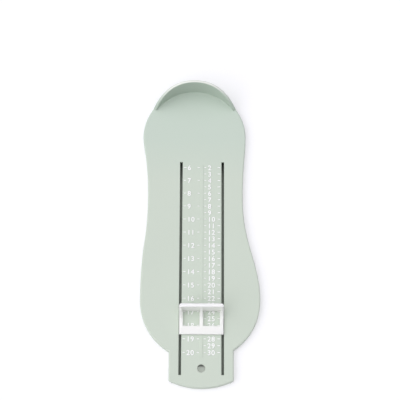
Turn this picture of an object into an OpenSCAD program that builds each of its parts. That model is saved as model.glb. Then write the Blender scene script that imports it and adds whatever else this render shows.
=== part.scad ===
// Child's foot length gauge: a foot-shaped plate with a heel wall, and a toe slider that runs in two slots.
// Millimetres. X is across the foot, +Y points to the heel and +Z is up. The origin is under the middle of
// the plate's bounding box. Distances called "from the heel stop" run toward the tail, as on the scale.

/* [Scale] */
// Foot length at the first mark
scale_first = 60; // [45:1:80]
// Foot length at the last mark
scale_last = 200; // [180:1:230]
// Foot length that the slider shows as the part stands
reading = 167; // [70:1:175]

/* [Slots] */
// Distance between the middles of the two slots
slot_pitch = 31; // [26:0.5:33]
// Width of a slot
slot_w = 2; // [1.8:0.1:2.4]
// Length of slot on the heel side of the first mark
slot_lead = 4.4; // [2:0.2:10]

/* [Foot outline] */
// Width of the heel
heel_w = 77; // [72:0.2:82]
// How far the heel's middle lies to the left of the slots' middle
heel_shift = 5.8; // [2:0.1:7]
// Left edge at the waist, measured from the slots' middle
waist_left = 40.2; // [35:0.1:43]
// Right edge at the waist, measured from the slots' middle
waist_right = 30.4; // [27:0.1:35]
// Waist, from the heel stop
waist_at = 84; // [75:1:95]
// Width at the ball of the foot
ball_w = 88; // [84:0.5:96]
// How far the ball's middle lies to the left of the slots' middle
ball_shift = 1; // [0:0.1:2]
// Ball of the foot, from the heel stop
ball_at = 161.5; // [150:0.5:165]

/* [Tail] */
// Width of the tail
tail_w = 47; // [44:0.5:56]
// Tail beyond the end of the slots
tail_margin = 9.4; // [7:0.2:14]
// Radius of the bowed end
tail_bow_r = 53; // [40:1:90]
// Radius of the tail's two corners
tail_corner_r = 1; // [0.5:0.1:3]
// Diameter of the hanging hole
hang_d = 6; // [4:0.5:8]
// Hanging hole, beyond the last mark of the scale
hang_after = 11.6; // [9:0.2:13]

/* [Plate section] */
// Height of the plate's top above the table
plate_h = 5; // [4.8:0.1:8]
// Thickness of the top skin
skin_t = 2; // [1.6:0.1:2.2]
// Radius of the plate's rounded top edge
edge_r = 1; // [0.5:0.1:1.4]
// Thickness of the turned-down edge
skirt_t = 1.8; // [1.2:0.1:2.4]
// Thickness of a rib under the skin
rib_t = 1.2; // [0.8:0.1:1.6]
// Gap between the ribs and the table
rib_lift = 1; // [0.5:0.1:1.6]
// Distance between the cross ribs
rib_pitch = 24; // [18:1:40]

/* [Heel wall] */
// Height of the heel wall above the plate
heel_wall_h = 21.5; // [14:0.5:28]
// Thickness of the heel wall at its foot
heel_wall_t = 2.3; // [2.1:0.1:3]
// How much thinner the wall is at its rim
heel_wall_draft = 0.2; // [0.1:0.1:0.5]
// Radius of the wall's rounded rim edges
heel_rim_r = 0.8; // [0.2:0.1:0.9]
// Radius of the fillet between the plate and the wall
heel_fillet_r = 0.5; // [0.3:0.1:1]
// Step between the plate's edge and the wall
heel_step = 0.2; // [0.1:0.1:0.6]
// Half of the angle that the wall spans
heel_wall_angle = 54; // [45:0.5:62]
// Height at which the wall ends on each side
heel_wall_end_h = 1.4; // [1:0.1:3]
// How full the wall's rim line is: 2 is a parabola
heel_wall_fullness = 2.7; // [2:0.1:4]

/* [Toe slider] */
// Length of the slider's frame along the slots
slider_len = 20; // [19:0.1:26]
// Thickness of the frame
frame_t = 2.1; // [1.6:0.1:4]
// Height of the toe wall above the plate
toe_wall_h = 16.2; // [12:0.1:26]
// Thickness of the toe wall
toe_wall_t = 2.6; // [2:0.1:3.4]
// Radius of the toe wall's upright edges on the heel side
toe_edge_r = 2; // [0.6:0.1:2.4]
// Radius of the toe wall's rounded top edges
toe_top_r = 0.6; // [0.3:0.1:0.9]
// Radius of the frame's rounded upper edges
frame_edge_r = 0.5; // [0.3:0.1:0.9]
// Radius of the fillet between the toe wall and the frame
toe_fillet_r = 0.8; // [0.4:0.1:1.2]
// Width of a frame bar beside a window
side_bar_w = 2.8; // [2:0.1:3.6]
// Width of the bar between the windows
mid_bar_w = 2.9; // [2:0.1:4]
// Width of the bar at the tail side of the windows
end_bar_w = 6.3; // [4:0.1:8]
// Bevel round the top of a window
window_bevel = 0.4; // [0.2:0.1:0.5]
// Thickness of a brace behind the toe wall
brace_t = 1.8; // [1:0.1:2]
// Length of a brace along its bar
brace_len = 7; // [4:0.1:8]
// Distance from a brace's upper end to the toe wall's top
brace_below_top = 1.5; // [1:0.1:6]

/* [Slider legs and keeper] */
// First leg, from the reading face
leg_from_face = 1; // [0.5:0.1:2]
// How far the last leg reaches past the windows
leg_past_window = 2.4; // [1:0.1:4]
// Length of one leg along the slot
leg_len = 5; // [3.5:0.1:6]
// Thickness of the keeper
keeper_t = 1.4; // [1.2:0.1:1.6]
// Keeper beyond a leg, across the part
keeper_lip = 1.8; // [1.2:0.1:2.4]
// Keeper beyond a leg's hole, along the slots
keeper_end = 1; // [0.6:0.1:1.6]
// How far a leg's barb reaches under the keeper
barb = 0.6; // [0.4:0.05:0.8]
// Depth of a barb
barb_h = 0.8; // [0.6:0.05:0.9]

/* [Clearances] */
// Under the slider's frame, above the plate and its raised scale
glide_gap = 0.35; // [0.3:0.05:0.5]
// Between the keeper and the skin
keeper_gap = 0.3; // [0.2:0.05:0.4]
// Between a leg and its hole in the keeper
pocket_gap = 0.1; // [0.05:0.05:0.2]
// Between a leg and each side of its slot
leg_gap = 0.4; // [0.2:0.05:0.5]
// Between the keeper and the guide rails
rail_gap = 0.5; // [0.3:0.1:1]
// Slot that is left when the slider stands at the last mark
stop_gap = 0.3; // [0.2:0.1:2]

/* [Hidden] */
PLATE_COLOUR = [0.80, 0.84, 0.80];
SLIDER_COLOUR = [0.96, 0.96, 0.95];
// Degrees from one point of an arc to the next: on the outline, round the heel wall, and on small rounds
ARC_STEP = 3;
WALL_STEP = 2.5;
ROUND_STEP = 30;
// Points on one flank of the foot
FLANK_STEPS = 22;
// A fillet bites this far into what it joins, and stops this many degrees short of the heel wall's ends
FILLET_BITE = 0.06;
FILLET_TRIM = 1.5;
// Smallest radius that a corner keeps when its outline is inset
SHARPEST_R = 0.2;
EPS = 0.01;

heel_r = heel_w / 2;
ball_r = ball_w / 2;
heel_inner_r = heel_r - heel_step - heel_wall_t;
zero_to_end = heel_r - heel_inner_r;
window_end = slider_len - end_bar_w;
leg_end = window_end + leg_past_window;
slot_start = scale_first - slot_lead;
slot_end = scale_last + leg_end + stop_gap;
slot_len = slot_end - slot_start;
tail_end = slot_end + tail_margin;
plate_len = zero_to_end + tail_end;
zero_y = plate_len / 2 - zero_to_end;
under_skin = plate_h - skin_t;
slider_bottom = plate_h + glide_gap;
leg_in = (slot_pitch - slot_w) / 2 + leg_gap;
leg_out = (slot_pitch + slot_w) / 2 - leg_gap;
slider_w = 2 * leg_out;
keeper_w = slider_w + 2 * keeper_lip;
keeper_top = under_skin - keeper_gap;
keeper_bottom = keeper_top - keeper_t;
keeper_over = pocket_gap + keeper_end;
rail_in = keeper_w / 2 + rail_gap;
window_w = (slider_w - 2 * side_bar_w - mid_bar_w) / 2;

// Handles of the curves that join heel, waist and ball: length at the wider end, then at the waist
heel_to_waist = [[8, 30], [14, 25]];
ball_to_waist = [[45, 35], [29.5, 36]];

// Places the scale's own frame: X from the slots' middle, Y from the heel stop
module on_scale() {
    translate([ball_shift, zero_y, 0])
        children();
}

function cubic(a, b, c, d, t) =
    a * pow(1 - t, 3) + 3 * b * t * pow(1 - t, 2) + 3 * c * t * t * (1 - t) + d * pow(t, 3);

// A smooth S between two upright tangents, without its first point
function flank(from, to, handle_from, handle_to) =
    let (way = sign(to.y - from.y))
    [for (i = [1 : FLANK_STEPS])
        let (t = i / FLANK_STEPS)
        [cubic(from.x, from.x, to.x, to.x, t),
         cubic(from.y, from.y + way * handle_from, to.y - way * handle_to, to.y, t)]];

// Points of an arc from angle a0 to a1, both ends included
function arc(centre, r, a0, a1, step = ARC_STEP) =
    let (n = ceil(abs(a1 - a0) / step))
    [for (i = [0 : n])
        let (a = a0 + (a1 - a0) * i / n)
        centre + r * [cos(a), sin(a)]];

// Heel, both flanks and the round of the ball, as one closed line drawn inset mm inside the edge
function foot_points(inset) =
    let (
        heel = [-heel_shift, zero_to_end - heel_r],
        ball = [-ball_shift, -ball_at],
        hr = heel_r - inset,
        br = ball_r - inset,
        left_waist = [-waist_left + inset, -waist_at],
        right_waist = [waist_right - inset, -waist_at]
    )
    concat(
        arc(heel, hr, 0, 180),
        flank(heel - [hr, 0], left_waist, heel_to_waist[0][0], heel_to_waist[0][1]),
        flank(left_waist, ball - [br, 0], ball_to_waist[0][1], ball_to_waist[0][0]),
        arc(ball, br, 180 + ARC_STEP, 360),
        flank(ball + [br, 0], right_waist, ball_to_waist[1][0], ball_to_waist[1][1]),
        [for (p = flank(right_waist, heel + [hr, 0], heel_to_waist[1][1], heel_to_waist[1][0]))
            if (p.y < heel.y - EPS) p]
    );

// Tail with a bowed end and two small round corners; its straight sides start inside the ball
function tail_points(inset) =
    let (
        half = tail_w / 2 - inset,
        bow = [0, tail_bow_r - tail_end],
        bow_r = tail_bow_r - inset,
        corner_r = max(tail_corner_r - inset, SHARPEST_R),
        // each corner's circle touches the side and the bow from inside
        corner_x = half - corner_r,
        corner_y = bow.y - sqrt(pow(bow_r - corner_r, 2) - corner_x * corner_x),
        meet = atan2(bow.y - corner_y, corner_x)
    )
    concat(
        [[half, -ball_at - ball_r / 2], [-half, -ball_at - ball_r / 2]],
        arc([-corner_x, corner_y], corner_r, 180, 180 + meet, ROUND_STEP),
        arc(bow, bow_r, 180 + meet + ARC_STEP / 3, 360 - meet - ARC_STEP / 3),
        arc([corner_x, corner_y], corner_r, 360 - meet, 360, ROUND_STEP)
    );

module outline_2d(inset = 0) {
    polygon(foot_points(inset));
    polygon(tail_points(inset));
}

// A ring of n points closed with strips that run from side to side, starting at its point number top
function cap(n, top) =
    concat(
        [[top, (top + 1) % n, (top + n - 1) % n]],
        [for (i = [1 : floor(n / 2) - 1])
            let (
                left = (top + i) % n,
                right = (top + n - i) % n,
                next_left = (left + 1) % n,
                next_right = (right + n - 1) % n
            )
            next_left == next_right ? [left, next_left, right] : [left, next_left, next_right, right]]
    );

// Closed skin over rings that have equally many points, each ring clockwise seen from the next one
module skin(rings, top = 0) {
    n = len(rings[0]);
    last = len(rings) - 1;
    polyhedron(
        points = [for (ring = rings) for (p = ring) p],
        faces = concat(
            [for (face = cap(n, top)) [for (j = [len(face) - 1 : -1 : 0]) face[j]]],
            [for (face = cap(n, top)) [for (j = face) last * n + j]],
            [for (i = [0 : last - 1]) for (j = [0 : n - 1])
                let (k = (j + 1) % n, here = i * n, next = here + n)
                each [[here + j, next + k, next + j], [here + j, here + k, next + k]]]
        ),
        convexity = 6
    );
}

// [inset, height] of the rings that the plate's rounded edge is skinned over
edge_rings = concat(
    [[edge_r, plate_h]],
    [for (a = [90 - ROUND_STEP : -ROUND_STEP : 0]) [edge_r * (1 - cos(a)), plate_h - edge_r * (1 - sin(a))]],
    [[0, 0]]
);

// The plate as a full block, with its top edge rounded
module block() {
    skin([for (e = edge_rings) [for (p = foot_points(e[0])) [p.x, p.y, e[1]]]], top = 90 / ARC_STEP);
    skin([for (e = edge_rings) [for (p = tail_points(e[0])) [p.x, p.y, e[1]]]]);
}

// Height of the wall's rim at an angle from the heel's middle line
function rim_h(angle) =
    heel_wall_h - (heel_wall_h - heel_wall_end_h)
        * pow(abs(angle) / heel_wall_angle, heel_wall_fullness);

// Section of the heel wall as [radius, height]: inner foot, rounded rim, outer foot
function wall_section(h) =
    let (
        inner = heel_inner_r,
        outer = inner + heel_wall_t - heel_wall_draft * h / heel_wall_h,
        rim_r = min(heel_rim_r, h / 2),
        root = -skin_t / 2
    )
    concat(
        [[inner, root]],
        arc([inner + rim_r, h - rim_r], rim_r, 180, 90, ROUND_STEP),
        arc([outer - rim_r, h - rim_r], rim_r, 90, 0, ROUND_STEP),
        [[inner + heel_wall_t, root]]
    );

// The heel wall: one section swept round the heel, its height falling to the plate at both ends
module heel_wall() {
    turns = 2 * ceil(heel_wall_angle / WALL_STEP);
    rings = [for (i = [0 : turns])
        let (
            a = heel_wall_angle * (2 * i / turns - 1),
            section = wall_section(rim_h(a))
        )
        [for (p = section) [p[0] * sin(a), p[0] * cos(a), p[1]]]];
    translate([-heel_shift, zero_to_end - heel_r, plate_h])
        skin(rings);
}

// Fillet between the plate and the wall's inner face
module heel_fillet() {
    span = 2 * (heel_wall_angle - FILLET_TRIM);
    centre = heel_fillet_r - FILLET_BITE;
    translate([-heel_shift, zero_to_end - heel_r, plate_h])
        rotate([0, 0, 90 - span / 2])
            rotate_extrude(angle = span, $fn = 144)
                translate([heel_inner_r, 0])
                    difference() {
                        translate([-centre, -skin_t / 2])
                            square([centre + heel_wall_t / 2, centre + skin_t / 2]);
                        translate([-centre, centre])
                            circle(r = heel_fillet_r, $fn = 48);
                    }
}

// Ribs under the skin: a guide rail along each slot, and cross ribs
module rib_lines_2d() {
    reach = ball_w;
    for (side = [-1, 1])
        translate([side > 0 ? rail_in : -rail_in - rib_t, -tail_end])
            square([rib_t, plate_len]);
    for (y = [-rib_pitch / 2 : -rib_pitch : -ball_at - ball_r])
        translate([-reach, y - rib_t / 2])
            square([2 * reach, rib_t]);
}

// The ribs, less the lane that the keeper runs in
module ribs() {
    translate([0, 0, rib_lift])
        linear_extrude(height = under_skin - rib_lift + EPS)
            difference() {
                intersection() {
                    outline_2d(skirt_t / 2);
                    rib_lines_2d();
                }
                translate([-rail_in, -tail_end])
                    square([2 * rail_in, tail_end - slot_start + keeper_over + rail_gap]);
            }
}

module slots() {
    for (side = [-1, 1])
        translate([side * slot_pitch / 2 - slot_w / 2, -slot_end, under_skin - EPS])
            cube([slot_w, slot_len, skin_t + 2 * EPS]);
}

module base_plate() {
    color(PLATE_COLOUR)
        on_scale()
            difference() {
                union() {
                    difference() {
                        block();
                        translate([0, 0, -EPS])
                            linear_extrude(height = under_skin + EPS)
                                outline_2d(skirt_t);
                    }
                    ribs();
                    heel_wall();
                    heel_fillet();
                }
                slots();
                translate([0, -scale_last - hang_after, 0])
                    cylinder(h = plate_h + EPS, d = hang_d, $fn = 64);
            }
}

// Places the slider's own frame: Y from the toe wall's reading face, toward the tail below zero
module at_reading() {
    on_scale()
        translate([0, -reading, 0])
            children();
}

// A leg in the right-hand slot, drawn as a section: its barb snaps under the keeper and has a lead-in slope
module leg() {
    barb_top = keeper_bottom - pocket_gap;
    tip = barb_top - barb_h;
    rotate([90, 0, 0])
        linear_extrude(height = leg_len)
            polygon([
                [leg_in, slider_bottom + frame_t / 2],
                [leg_in, tip],
                [(leg_in + leg_out) / 2, tip],
                [leg_out + barb, barb_top - barb_h / 3],
                [leg_out + barb, barb_top],
                [leg_out, barb_top],
                [leg_out, slider_bottom + frame_t / 2]
            ]);
}

// The four places of the legs, each starting at the heel end of its leg
module each_leg() {
    for (side = [0, 1])
        mirror([side, 0, 0])
            for (from = [leg_from_face, leg_end - leg_len])
                translate([0, -from, 0])
                    children();
}

// What a round of radius r takes off a square corner that points to +X and +Y
module corner_cut_2d(r) {
    difference() {
        translate([-r, -r])
            square(r + EPS);
        translate([-r, -r])
            circle(r = r, $fn = 48);
    }
}

// A w by h rectangle that stands on the X axis, with its two upper corners rounded
module arch_2d(w, h, r) {
    difference() {
        translate([-w / 2, 0])
            square([w, h]);
        for (side = [0, 1])
            mirror([side, 0])
                translate([w / 2, h])
                    corner_cut_2d(r);
    }
}

// A block on Z = 0 that reaches from Y = 0 toward the tail, with all its upper edges rounded
module soft_block(w, length, h, r) {
    intersection() {
        rotate([90, 0, 0])
            linear_extrude(height = length)
                arch_2d(w, h, r);
        translate([-w / 2 - EPS, -length / 2, 0])
            rotate([90, 0, 90])
                linear_extrude(height = w + 2 * EPS)
                    arch_2d(length, h, r);
    }
}

// Upright wall that the toes touch: its upright edges are rounded on the heel side only
module toe_wall() {
    height = toe_wall_h - glide_gap;
    intersection() {
        soft_block(slider_w, toe_wall_t, height, toe_top_r);
        linear_extrude(height = height)
            difference() {
                translate([-slider_w / 2, -toe_wall_t])
                    square([slider_w, toe_wall_t]);
                for (side = [0, 1])
                    mirror([side, 0])
                        translate([slider_w / 2, 0])
                            corner_cut_2d(toe_edge_r);
            }
    }
}

// Opening of one window, bevelled at its top on the three sides that don't meet the wall
module window() {
    translate([0, -window_end, -EPS])
        cube([window_w, window_end - toe_wall_t, frame_t + toe_fillet_r + EPS]);
    skin([for (rise = [0, window_bevel + EPS])
        [[-rise, -window_end - rise, frame_t - window_bevel + rise],
         [-rise, -toe_wall_t, frame_t - window_bevel + rise],
         [window_w + rise, -toe_wall_t, frame_t - window_bevel + rise],
         [window_w + rise, -window_end - rise, frame_t - window_bevel + rise]]]);
}

// Brace between the toe wall's back and the bar under it, hollowed by a quarter of an ellipse
module brace() {
    brace_h = toe_wall_h - glide_gap - frame_t - brace_below_top;
    translate([-brace_t / 2, -toe_wall_t, frame_t])
        rotate([90, 0, 90])
            linear_extrude(height = brace_t) {
                mirror([0, 1])
                    scale([brace_len, brace_h])
                        corner_cut_2d(1);
                translate([-brace_len, -frame_t / 2])
                    square([brace_len + toe_wall_t / 2, frame_t / 2 + EPS]);
            }
}

// Low frame behind the wall, with its two windows and the fillet at the wall's foot
module frame() {
    difference() {
        union() {
            intersection() {
                soft_block(slider_w, slider_len, frame_t, frame_edge_r);
                translate([-slider_w / 2, -slider_len, 0])
                    cube([slider_w, slider_len - toe_wall_t / 2, frame_t]);
            }
            translate([-slider_w / 2 + frame_edge_r, -toe_wall_t + FILLET_BITE, frame_t - FILLET_BITE])
                rotate([90, 0, 90])
                    linear_extrude(height = slider_w - 2 * frame_edge_r)
                        mirror([0, 1])
                            corner_cut_2d(toe_fillet_r);
        }
        for (left = [-mid_bar_w / 2 - window_w, mid_bar_w / 2])
            translate([left, 0, 0])
                window();
    }
    for (x = [(brace_t - slider_w) / 2, 0, (slider_w - brace_t) / 2])
        translate([x, 0, 0])
            brace();
}

module toe_slider() {
    color(SLIDER_COLOUR)
        at_reading() {
            translate([0, 0, slider_bottom]) {
                toe_wall();
                frame();
            }
            each_leg()
                leg();
        }
}

// Flat plate under the strip, with four holes for the legs
module slider_keeper() {
    keeper_len = leg_end - leg_from_face + 2 * keeper_over;
    color(SLIDER_COLOUR)
        at_reading()
            translate([0, 0, keeper_bottom])
                linear_extrude(height = keeper_t)
                    difference() {
                        translate([-keeper_w / 2, -leg_end - keeper_over])
                            square([keeper_w, keeper_len]);
                        each_leg()
                            translate([leg_in - pocket_gap, -leg_len - pocket_gap])
                                square([leg_out - leg_in + 2 * pocket_gap, leg_len + 2 * pocket_gap]);
                    }
}

base_plate();
toe_slider();
slider_keeper();
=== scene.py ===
import math

import bmesh
import bpy
from mathutils import Matrix, Vector


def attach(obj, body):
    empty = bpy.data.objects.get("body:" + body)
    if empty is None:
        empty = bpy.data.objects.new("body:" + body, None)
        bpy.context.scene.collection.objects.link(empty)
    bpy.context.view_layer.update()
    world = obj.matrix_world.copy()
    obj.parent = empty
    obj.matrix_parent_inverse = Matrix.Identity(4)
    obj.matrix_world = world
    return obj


# Looks of a child's foot length gauge: a sage-green moulded plate and a white toe slider.
# The CAD model gives the plate, the slider and its keeper. This script adds the raised scale, the plastics,
# the paper, the light and the camera. Lengths here are in millimetres, unless a name or comment says otherwise.

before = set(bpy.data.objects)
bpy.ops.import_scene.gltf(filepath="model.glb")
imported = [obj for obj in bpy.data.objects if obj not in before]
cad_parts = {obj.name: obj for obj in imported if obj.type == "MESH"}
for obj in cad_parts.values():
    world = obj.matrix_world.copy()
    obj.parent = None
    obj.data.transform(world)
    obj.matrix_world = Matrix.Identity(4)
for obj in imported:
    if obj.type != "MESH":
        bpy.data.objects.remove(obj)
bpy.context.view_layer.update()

MM = 0.001

# The scale's own frame: X from the middle between the slots, Y from the heel stop and negative toward the tail
SLOTS_X = 1.0
HEEL_STOP_Y = 111.65
PLATE_TOP = 5.0


def scale_point(x, y, z=0.0):
    """A point given in the scale's own frame and above the plate, in metres in the part's frame."""
    return Vector((SLOTS_X + x, HEEL_STOP_Y + y, PLATE_TOP + z)) * MM


# ---------------------------------------------------------------- nodes and colours

# Sockets of a Mix node for colours: its factor, its two colours and its result
FACTOR, FIRST, SECOND, MIXED = 0, 6, 7, 2


def linear(hex_colour):
    """An sRGB hex colour as the linear RGBA that Blender's sockets take."""
    channels = [int(hex_colour[i:i + 2], 16) / 255 for i in (1, 3, 5)]
    return [c / 12.92 if c <= 0.04045 else ((c + 0.055) / 1.055) ** 2.4 for c in channels] + [1.0]


def add_node(tree, kind, inputs=None, **settings):
    """Adds one node with its settings. Each input is a value, or the socket that feeds it."""
    node = tree.nodes.new(kind)
    for name, value in settings.items():
        setattr(node, name, value)
    for name, value in (inputs or {}).items():
        if isinstance(value, bpy.types.NodeSocket):
            tree.links.new(value, node.inputs[name])
        else:
            node.inputs[name].default_value = value
    return node


def new_material(name):
    """An empty material, its node tree, and the socket that gives a point's place on the object, in metres."""
    material = bpy.data.materials.new(name)
    material.use_nodes = True
    tree = material.node_tree
    tree.nodes.clear()
    return material, tree, add_node(tree, "ShaderNodeTexCoord").outputs["Object"]


def seen_directly(tree):
    """1 for what the eye sees, straight or by way of gloss or glass, and 0 for light on its way."""
    ray = add_node(tree, "ShaderNodeLightPath")
    seen = add_node(tree, "ShaderNodeMath", {0: ray.outputs["Is Camera Ray"], 1: ray.outputs["Is Glossy Ray"]},
                    operation="MAXIMUM")
    return add_node(tree, "ShaderNodeMath", {0: seen.outputs[0], 1: ray.outputs["Is Transmission Ray"]},
                    operation="MAXIMUM").outputs[0]


# ---------------------------------------------------------------- moulded ABS

# Sizes of the patches in the pigment and in the sheen
CLOUD_SIZE = 30
SHEEN_SIZE = 9
ABS_IOR = 1.53

# The plate's two tones, and a painted shade toward the heel, a deeper green which it reaches between two places on Y
PLATE_LIGHT = "#CFD9CC"
PLATE_DARK = "#CDD7CA"
PLATE_HEEL_PAINTED_SHADE = "#C8D5C9"
HEEL_SHADE_FROM_Y = 42
HEEL_SHADE_FULL_Y = 75

# Painted light and shade on what stands over the plate's top, and how far over it each starts: a painted shade on
# the heel wall's sides and a painted highlight on its rim, a painted shade on the raised scale's sides and a painted
# highlight on its tops, and a painted highlight on the round top of the toe wall
WALL_PAINTED_SHADE = "#BCCABD"
WALL_PAINTED_HIGHLIGHT = "#F0F3EC"
WALL_FROM = 0.8

RELIEF_PAINTED_SHADE = "#AEB9AD"
RELIEF_PAINTED_HIGHLIGHT = "#FFFFFF"
RELIEF_FROM = 0.15

SLIDER_LIGHT = "#F7FBF4"
SLIDER_DARK = "#F5F9F2"
SLIDER_PAINTED_HIGHLIGHT = "#FDFFFD"
SLIDER_CREST_FROM = 12
# How much of the light goes into the white plastic, and how deep
SLIDER_GLOW = 1.0
SLIDER_GLOW_DEPTH = 2.0

# How far a face must look up to start and to finish taking the painted highlight: the Z of its normal
HIGHLIGHT_STARTS = 0.6
HIGHLIGHT_FULL = 0.95


def pigment_cloud(tree, place, light, dark):
    """The pigment's two tones in soft patches, so faint that the eye takes them for one."""
    cloud = add_node(tree, "ShaderNodeTexNoise",
                     {"Vector": place, "Scale": 1 / (CLOUD_SIZE * MM), "Detail": 2.0, "Roughness": 0.5})
    return add_node(tree, "ShaderNodeMix",
                    {FACTOR: cloud.outputs["Fac"], FIRST: linear(dark), SECOND: linear(light)},
                    data_type="RGBA").outputs[MIXED]


def deeper_at_heel(tree, place, colour):
    """Paints a shade on the plate toward the heel, as a slightly deeper green."""
    along = add_node(tree, "ShaderNodeSeparateXYZ", {"Vector": place}).outputs["Y"]
    heelward = add_node(tree, "ShaderNodeMapRange",
                        {"Value": along, "From Min": HEEL_SHADE_FROM_Y * MM, "From Max": HEEL_SHADE_FULL_Y * MM})
    return add_node(tree, "ShaderNodeMix",
                    {FACTOR: heelward.outputs["Result"], FIRST: colour, SECOND: linear(PLATE_HEEL_PAINTED_SHADE)},
                    data_type="RGBA").outputs[MIXED]


def rubbed_crests(tree, place, colour, above, painted_highlight, painted_shade=None):
    """Paints a highlight on what stands more than this far over the plate, where it faces up. Its other faces
    take a painted shade, if one is given."""
    height = add_node(tree, "ShaderNodeSeparateXYZ", {"Vector": place}).outputs["Z"]
    proud = add_node(tree, "ShaderNodeMath", {0: height, 1: (PLATE_TOP + above) * MM},
                     operation="GREATER_THAN").outputs[0]
    if painted_shade:
        colour = add_node(tree, "ShaderNodeMix", {FACTOR: proud, FIRST: colour, SECOND: linear(painted_shade)},
                          data_type="RGBA").outputs[MIXED]
    normal = add_node(tree, "ShaderNodeNewGeometry").outputs["Normal"]
    upward = add_node(tree, "ShaderNodeSeparateXYZ", {"Vector": normal}).outputs["Z"]
    upward = add_node(tree, "ShaderNodeMapRange",
                      {"Value": upward, "From Min": HIGHLIGHT_STARTS, "From Max": HIGHLIGHT_FULL}).outputs["Result"]
    # the painted highlight: upward faces of what stands over the plate
    highlighted = add_node(tree, "ShaderNodeMath", {0: upward, 1: proud}, operation="MULTIPLY").outputs[0]
    return add_node(tree, "ShaderNodeMix", {FACTOR: highlighted, FIRST: colour, SECOND: linear(painted_highlight)},
                    data_type="RGBA").outputs[MIXED]


def satin_surface(tree, place, colour, roughness, sheen_spread, grain_size, grain_depth, shine=0.5, glow=0.0,
                  glow_depth=1.0):
    """A satin sheen that varies a little in patches, over the fine grain of a spark-eroded mould."""
    sheen = add_node(tree, "ShaderNodeTexNoise",
                     {"Vector": place, "Scale": 1 / (SHEEN_SIZE * MM), "Detail": 3.0, "Roughness": 0.6})
    rough = add_node(tree, "ShaderNodeMapRange",
                     {"Value": sheen.outputs["Fac"], "From Min": 0.3, "From Max": 0.7,
                      "To Min": roughness - sheen_spread, "To Max": roughness + sheen_spread})
    grain = add_node(tree, "ShaderNodeTexNoise",
                     {"Vector": place, "Scale": 1 / (grain_size * MM), "Detail": 2.0, "Roughness": 0.55})
    bump = add_node(tree, "ShaderNodeBump",
                    {"Height": grain.outputs["Fac"], "Strength": 1.0, "Distance": grain_depth * MM})
    shader = add_node(tree, "ShaderNodeBsdfPrincipled",
                      {"Base Color": colour, "Roughness": rough.outputs["Result"], "Normal": bump.outputs["Normal"],
                       "IOR": ABS_IOR, "Specular IOR Level": shine, "Subsurface Weight": glow,
                       "Subsurface Scale": glow_depth * MM, "Subsurface Radius": (1.0, 1.0, 1.0)})
    add_node(tree, "ShaderNodeOutputMaterial", {"Surface": shader.outputs["BSDF"]})


# A real mould's grain is about 0.1 mm. It is drawn five or six times as coarse here, so that it shows.

def green_abs():
    """Injection-moulded ABS, sage green: a matt satin plate with a painted shade toward the heel, and a heel wall
    with a painted shade on its sides and a painted highlight on its rim.
    """
    material, tree, place = new_material("moulded ABS, sage green")
    colour = pigment_cloud(tree, place, PLATE_LIGHT, PLATE_DARK)
    # a painted shade toward the heel
    colour = deeper_at_heel(tree, place, colour)
    # a painted shade on the heel wall's sides and a painted highlight on its rim
    colour = rubbed_crests(tree, place, colour, WALL_FROM, WALL_PAINTED_HIGHLIGHT, WALL_PAINTED_SHADE)
    satin_surface(tree, place, colour, roughness=0.46, sheen_spread=0.04, grain_size=0.5, grain_depth=0.006,
                  shine=0.3)
    return material


def relief_abs():
    """The same ABS on the raised scale, with a painted near white highlight on its tops and a painted shade on its
    sides.
    """
    material, tree, place = new_material("moulded ABS, sage green, rubbed relief")
    colour = pigment_cloud(tree, place, PLATE_LIGHT, PLATE_DARK)
    # a painted highlight on the scale's tops and a painted shade on its sides
    colour = rubbed_crests(tree, place, colour, RELIEF_FROM, RELIEF_PAINTED_HIGHLIGHT, RELIEF_PAINTED_SHADE)
    satin_surface(tree, place, colour, roughness=0.34, sheen_spread=0.04, grain_size=0.5, grain_depth=0.004)
    return material


def white_abs():
    """Injection-moulded ABS, white: smoother than the plate, and light glows a little way through it. The toe wall's
    round top has a painted highlight.
    """
    material, tree, place = new_material("moulded ABS, white")
    colour = pigment_cloud(tree, place, SLIDER_LIGHT, SLIDER_DARK)
    # a painted highlight on the toe wall's round top
    colour = rubbed_crests(tree, place, colour, SLIDER_CREST_FROM, SLIDER_PAINTED_HIGHLIGHT)
    satin_surface(tree, place, colour, roughness=0.32, sheen_spread=0.03, grain_size=0.6, grain_depth=0.004,
                  glow=SLIDER_GLOW, glow_depth=SLIDER_GLOW_DEPTH)
    return material


# ---------------------------------------------------------------- matt white paper

PAPER_WHITE = "#E4E4E6"
# How much the paper's white is lifted for the eye alone: evenly where it lies beside the gauge, and as a painted
# glow of light in the lane under the hole
PAPER_LIFT = 0.26
HOLE_PAINTED_GLOW = 0.35

# The strip of paper under the two slots, which has a painted shade: its half width, its middle on Y and its half
# length
SLOTS_HALF_W = 21.5
SLOTS_MIDDLE_Y = -22
SLOTS_HALF_LEN = 88
# Its painted shade, and the deeper painted shade at the slots' heel ends
PAPER_SLOT_PAINTED_SHADE = "#A3ABA1"
PAPER_SLOT_END_PAINTED_SHADE = "#4C514A"
SLOT_END_FROM_Y = 40
SLOT_END_FULL_Y = 56

# The lane under the hanging hole: its half width, its painted light, and the painted shade below the hole's edge
HOLE_HALF_W = 9.5
PAPER_HOLE_PAINTED_LIGHT = "#E6EEE2"
PAPER_HOLE_EDGE_PAINTED_SHADE = "#3A3F38"
HOLE_EDGE_FROM_Y = -98.4
HOLE_EDGE_FULL_Y = -97.0


def tone_along(tree, y, from_y, full_y, first, second):
    """A tone that turns from the first to the second between two places on Y."""
    part = add_node(tree, "ShaderNodeMapRange", {"Value": y, "From Min": from_y * MM, "From Max": full_y * MM})
    return add_node(tree, "ShaderNodeMix",
                    {FACTOR: part.outputs["Result"], FIRST: linear(first), SECOND: linear(second)},
                    data_type="RGBA").outputs[MIXED]


def distance_from(tree, value, middle):
    """How far a place on one axis lies from a middle, in metres."""
    apart = add_node(tree, "ShaderNodeMath", {0: value, 1: middle * MM}, operation="SUBTRACT")
    return add_node(tree, "ShaderNodeMath", {0: apart.outputs[0]}, operation="ABSOLUTE").outputs[0]


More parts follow.
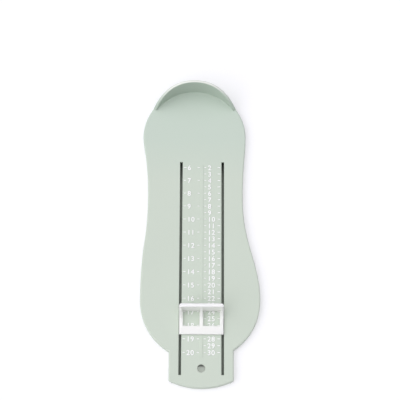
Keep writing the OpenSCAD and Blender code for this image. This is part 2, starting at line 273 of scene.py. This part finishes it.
def paper_sweep():
    """The white paper that the gauge lies on. It is matt, plain beside the gauge, and it keeps the gauge's shadow.
    Under the gauge it has a painted shade under the slots and below the hanging hole's edge, and a painted light in
    the lane under the hole.
    """
    material, tree, place = new_material("matt white paper")
    fibre = add_node(tree, "ShaderNodeTexNoise", {"Vector": place, "Scale": 1 / (2 * MM), "Detail": 3.0})
    bump = add_node(tree, "ShaderNodeBump",
                    {"Height": fibre.outputs["Fac"], "Strength": 0.1, "Distance": 0.02 * MM})

    axes = add_node(tree, "ShaderNodeSeparateXYZ", {"Vector": place})
    across = distance_from(tree, axes.outputs["X"], SLOTS_X)
    along = distance_from(tree, axes.outputs["Y"], SLOTS_MIDDLE_Y)
    beside = add_node(tree, "ShaderNodeMath", {0: across, 1: SLOTS_HALF_W * MM}, operation="GREATER_THAN")
    beyond = add_node(tree, "ShaderNodeMath", {0: along, 1: SLOTS_HALF_LEN * MM}, operation="GREATER_THAN")
    outside = add_node(tree, "ShaderNodeMath", {0: beside.outputs[0], 1: beyond.outputs[0]}, operation="MAXIMUM")
    hole_lane = add_node(tree, "ShaderNodeMath", {0: across, 1: HOLE_HALF_W * MM}, operation="LESS_THAN")

    # painted shade on the paper under the slots, darker at their heel ends
    slot_painted_shade = tone_along(tree, axes.outputs["Y"], SLOT_END_FROM_Y, SLOT_END_FULL_Y, PAPER_SLOT_PAINTED_SHADE, PAPER_SLOT_END_PAINTED_SHADE)
    # painted light in the lane under the hole, and painted shade from the hole's heelward edge on
    hole_painted_light_and_shade = tone_along(tree, axes.outputs["Y"], HOLE_EDGE_FROM_Y, HOLE_EDGE_FULL_Y, PAPER_HOLE_PAINTED_LIGHT,
                         PAPER_HOLE_EDGE_PAINTED_SHADE)
    tone = add_node(tree, "ShaderNodeMix", {FACTOR: hole_lane.outputs[0], FIRST: slot_painted_shade, SECOND: hole_painted_light_and_shade},
                    data_type="RGBA")
    tone = add_node(tree, "ShaderNodeMix",
                    {FACTOR: outside.outputs[0], FIRST: tone.outputs[MIXED], SECOND: linear(PAPER_WHITE)},
                    data_type="RGBA")
    paper = add_node(tree, "ShaderNodeBsdfDiffuse", {"Color": tone.outputs[MIXED], "Normal": bump.outputs["Normal"]})

    # a painted glow in the lane under the hole
    lift = add_node(tree, "ShaderNodeMath", {0: hole_lane.outputs[0], 1: HOLE_PAINTED_GLOW}, operation="MULTIPLY")
    lift = add_node(tree, "ShaderNodeMath", {0: outside.outputs[0], 1: lift.outputs[0]}, operation="MAXIMUM")
    lift = add_node(tree, "ShaderNodeMath", {0: seen_directly(tree), 1: lift.outputs[0]}, operation="MULTIPLY")
    lift = add_node(tree, "ShaderNodeMath", {0: lift.outputs[0], 1: PAPER_LIFT}, operation="MULTIPLY")
    glow = add_node(tree, "ShaderNodeEmission", {"Color": linear("#FFFFFF"), "Strength": lift.outputs[0]})
    both = add_node(tree, "ShaderNodeAddShader", {0: paper.outputs[0], 1: glow.outputs[0]})
    add_node(tree, "ShaderNodeOutputMaterial", {"Surface": both.outputs[0]})
    return material


# ---------------------------------------------------------------- raised scale

SCALE_FIRST = 60
SCALE_LAST = 200
CENTIMETRE = 10
# One size for each 5 mm of foot, counted so that a foot of 60 mm has size 2
SIZE_STEP = 5
SIZE_AT_ZERO = -10

# A relief of this height clears the underside of the slider's frame by 0.1 mm
RELIEF_H = 0.25
# How far the relief goes into the plate, so that no gap shows under it
RELIEF_ROOT = 0.05
# How much the relief narrows from its foot to its top, on each side
RELIEF_DRAFT = 0.12

DIGIT_H = 3.8
DIGIT_PITCH = 2.9
# The digits' height as a share of the letter size
DIGIT_SHARE = 0.73
# How much the strokes' tops are thickened on each side, so that they show at the photograph's size
DIGIT_BOLD = 0.05

TICK_W = 0.75
OUTER_TICK = (11.5, 13.8)
INNER_TICK = (1.6, 3.4)
CENTIMETRES_X = -10.8
SIZES_X = 4.4
DIVIDER_HALF_W = 1
DIVIDER_PAST_FIRST = 2
DIVIDER_PAST_LAST = 4


def add_ridge(bm, x0, x1, y0, y1):
    """One raised bar with sloping sides, between two corners in the scale's frame."""
    foot = [(x0, y0), (x1, y0), (x1, y1), (x0, y1)]
    d = RELIEF_DRAFT
    top = [(x0 + d, y0 + d), (x1 - d, y0 + d), (x1 - d, y1 - d), (x0 + d, y1 - d)]
    low = [bm.verts.new(scale_point(x, y, -RELIEF_ROOT)) for x, y in foot]
    high = [bm.verts.new(scale_point(x, y, RELIEF_H)) for x, y in top]
    bm.faces.new(low[::-1])
    bm.faces.new(high)
    for i in range(4):
        k = (i + 1) % 4
        bm.faces.new((low[i], low[k], high[k], high[i]))


def digit_shapes():
    """The ten digits as relief meshes, in millimetres, each with its own place in a cell of DIGIT_PITCH."""
    shapes = {}
    for digit in "0123456789":
        curve = bpy.data.curves.new("digit", "FONT")
        curve.body = digit
        curve.size = DIGIT_H / DIGIT_SHARE
        curve.resolution_u = 5
        curve.extrude = (RELIEF_H + RELIEF_ROOT) / 2 - RELIEF_DRAFT
        curve.bevel_depth = RELIEF_DRAFT
        curve.bevel_resolution = 0
        curve.offset = DIGIT_BOLD
        holder = bpy.data.objects.new("digit", curve)
        bpy.context.scene.collection.objects.link(holder)
        bpy.context.view_layer.update()
        graph = bpy.context.evaluated_depsgraph_get()
        shapes[digit] = bpy.data.meshes.new_from_object(holder.evaluated_get(graph))
        bpy.data.objects.remove(holder)
    return shapes


def add_number(bm, shapes, number, x, y):
    """A number whose first cell starts at x and whose middle height is at y."""
    for i, digit in enumerate(str(number)):
        middle = (RELIEF_H - RELIEF_ROOT) / 2
        place = Matrix.Translation(scale_point(x + i * DIGIT_PITCH, y - DIGIT_H / 2, middle))
        mesh = shapes[digit].copy()
        mesh.transform(place @ Matrix.Scale(MM, 4))
        bm.from_mesh(mesh)
        bpy.data.meshes.remove(mesh)


def add_piece(name, bm, body, material):
    """Cleans a mesh and makes it a piece that rides on a body."""
    bmesh.ops.remove_doubles(bm, verts=bm.verts, dist=0.002 * MM)
    bmesh.ops.recalc_face_normals(bm, faces=bm.faces)
    mesh = bpy.data.meshes.new(name)
    bm.to_mesh(mesh)
    bm.free()
    mesh.materials.append(material)
    piece = bpy.data.objects.new(name, mesh)
    bpy.context.scene.collection.objects.link(piece)
    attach(piece, body)


def raised_scale(plate_material, relief_material):
    """The centimetres on the left of the strip between the slots, the sizes on the right, and a divider."""
    shapes = digit_shapes()
    left = bmesh.new()
    right = bmesh.new()
    for at in range(SCALE_FIRST, SCALE_LAST + 1, SIZE_STEP):
        whole = at % CENTIMETRE == 0
        for near, far in (OUTER_TICK, INNER_TICK):
            add_ridge(right, near, far, -at - TICK_W / 2, -at + TICK_W / 2)
            if whole:
                add_ridge(left, -far, -near, -at - TICK_W / 2, -at + TICK_W / 2)
        add_number(right, shapes, at // SIZE_STEP + SIZE_AT_ZERO, SIZES_X, -at)
        if whole:
            add_number(left, shapes, at // CENTIMETRE, CENTIMETRES_X, -at)
    add_piece("scale_centimetres", left, "gauge", relief_material)
    add_piece("scale_sizes", right, "gauge", relief_material)

    divider = bmesh.new()
    add_ridge(divider, -DIVIDER_HALF_W, DIVIDER_HALF_W, -SCALE_LAST - DIVIDER_PAST_LAST,
              -SCALE_FIRST + DIVIDER_PAST_FIRST)
    add_piece("scale_divider", divider, "gauge", plate_material)


# ---------------------------------------------------------------- floor, light, camera

# Half of the paper's side, in metres
PAPER_REACH = 3.0

# Light of the sky, as a share of what falls on a level face. The lamp gives the rest.
FILL = 0.84
# The sky's strength at the horizon against an even sky's, and how steeply it climbs from there
HORIZON = 0.10
STEEPNESS = 2.0
SKY_TINT = "#FCFBFF"

# A broad soft key, low on the left and a little from the tail side. The angle is its width in degrees.
KEY_FROM = Vector((-0.9, -0.2, 0.35)).normalized()
KEY_ANGLE = 90

CAMERA_DISTANCE = 1093
CAMERA_TILT = math.radians(16)
CAMERA_ROLL = math.radians(0.28)
CAMERA_TARGET = scale_point(-1.44, -85.2)
# The lens's focal length and the image's width, in pixels, and the sensor's width
FOCAL_PIXELS = 1467
IMAGE_PIXELS = 400
SENSOR = 36


def lay_paper():
    """The floor: one sheet of paper under the gauge."""
    r = PAPER_REACH
    mesh = bpy.data.meshes.new("floor")
    mesh.from_pydata([(-r, -r, 0), (r, -r, 0), (r, r, 0), (-r, r, 0)], [], [(0, 1, 2, 3)])
    mesh.materials.append(paper_sweep())
    floor = bpy.data.objects.new("floor", mesh)
    bpy.context.scene.collection.objects.link(floor)


def hang_sky(scene):
    """A studio dome that is brightest overhead. The eye sees it as plain white."""
    world = bpy.data.worlds.new("soft studio")
    scene.world = world
    world.use_nodes = True
    tree = world.node_tree
    tree.nodes.clear()
    heading = add_node(tree, "ShaderNodeTexCoord").outputs["Generated"]
    height = add_node(tree, "ShaderNodeSeparateXYZ", {"Vector": heading}).outputs["Z"]
    climb = add_node(tree, "ShaderNodeMath", {0: height, 1: STEEPNESS}, operation="POWER", use_clamp=True)
    # the climb's top is set so that a level face gets FILL from the whole dome
    dome = add_node(tree, "ShaderNodeMapRange",
                    {"Value": climb.outputs[0], "To Min": FILL * HORIZON,
                     "To Max": FILL * (HORIZON + (1 - HORIZON) * (STEEPNESS + 2) / 2)})
    strength = add_node(tree, "ShaderNodeMix", {0: seen_directly(tree), 2: dome.outputs["Result"], 3: 1.0},
                        data_type="FLOAT")
    sky = add_node(tree, "ShaderNodeBackground", {"Color": linear(SKY_TINT), "Strength": strength.outputs[0]})
    add_node(tree, "ShaderNodeOutputWorld", {"Surface": sky.outputs[0]})


def hang_key(scene):
    """The key lamp, which gives a level face what the sky leaves."""
    lamp = bpy.data.lights.new("key", "SUN")
    lamp.angle = math.radians(KEY_ANGLE)
    lamp.energy = math.pi * (1 - FILL) / KEY_FROM.z
    key = bpy.data.objects.new("key", lamp)
    key.rotation_euler = KEY_FROM.to_track_quat("Z", "Y").to_euler()
    scene.collection.objects.link(key)


def set_camera(scene):
    """The camera that the marks of the scale were fitted with: above the gauge, tilted to its tail side."""
    data = bpy.data.cameras.new("camera")
    data.sensor_width = SENSOR
    data.lens = SENSOR * FOCAL_PIXELS / IMAGE_PIXELS
    data.clip_start = 0.05
    data.clip_end = 20
    camera = bpy.data.objects.new("camera", data)
    away = Vector((0, -math.sin(CAMERA_TILT), math.cos(CAMERA_TILT)))
    camera.matrix_world = (Matrix.Translation(CAMERA_TARGET + away * CAMERA_DISTANCE * MM)
                           @ Matrix.Rotation(CAMERA_TILT, 4, "X") @ Matrix.Rotation(CAMERA_ROLL, 4, "Z"))
    scene.collection.objects.link(camera)
    scene.camera = camera


# ---------------------------------------------------------------- the scene

plate_green = green_abs()
slider_white = white_abs()
raised_scale(plate_green, relief_abs())
for node, material in (("base_plate", plate_green), ("toe_slider", slider_white), ("slider_keeper", slider_white)):
    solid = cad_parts[node]
    solid.data.materials.clear()
    solid.data.materials.append(material)

lay_paper()
hang_sky(bpy.context.scene)
hang_key(bpy.context.scene)
set_camera(bpy.context.scene)
bpy.context.scene.view_settings.view_transform = "Standard"
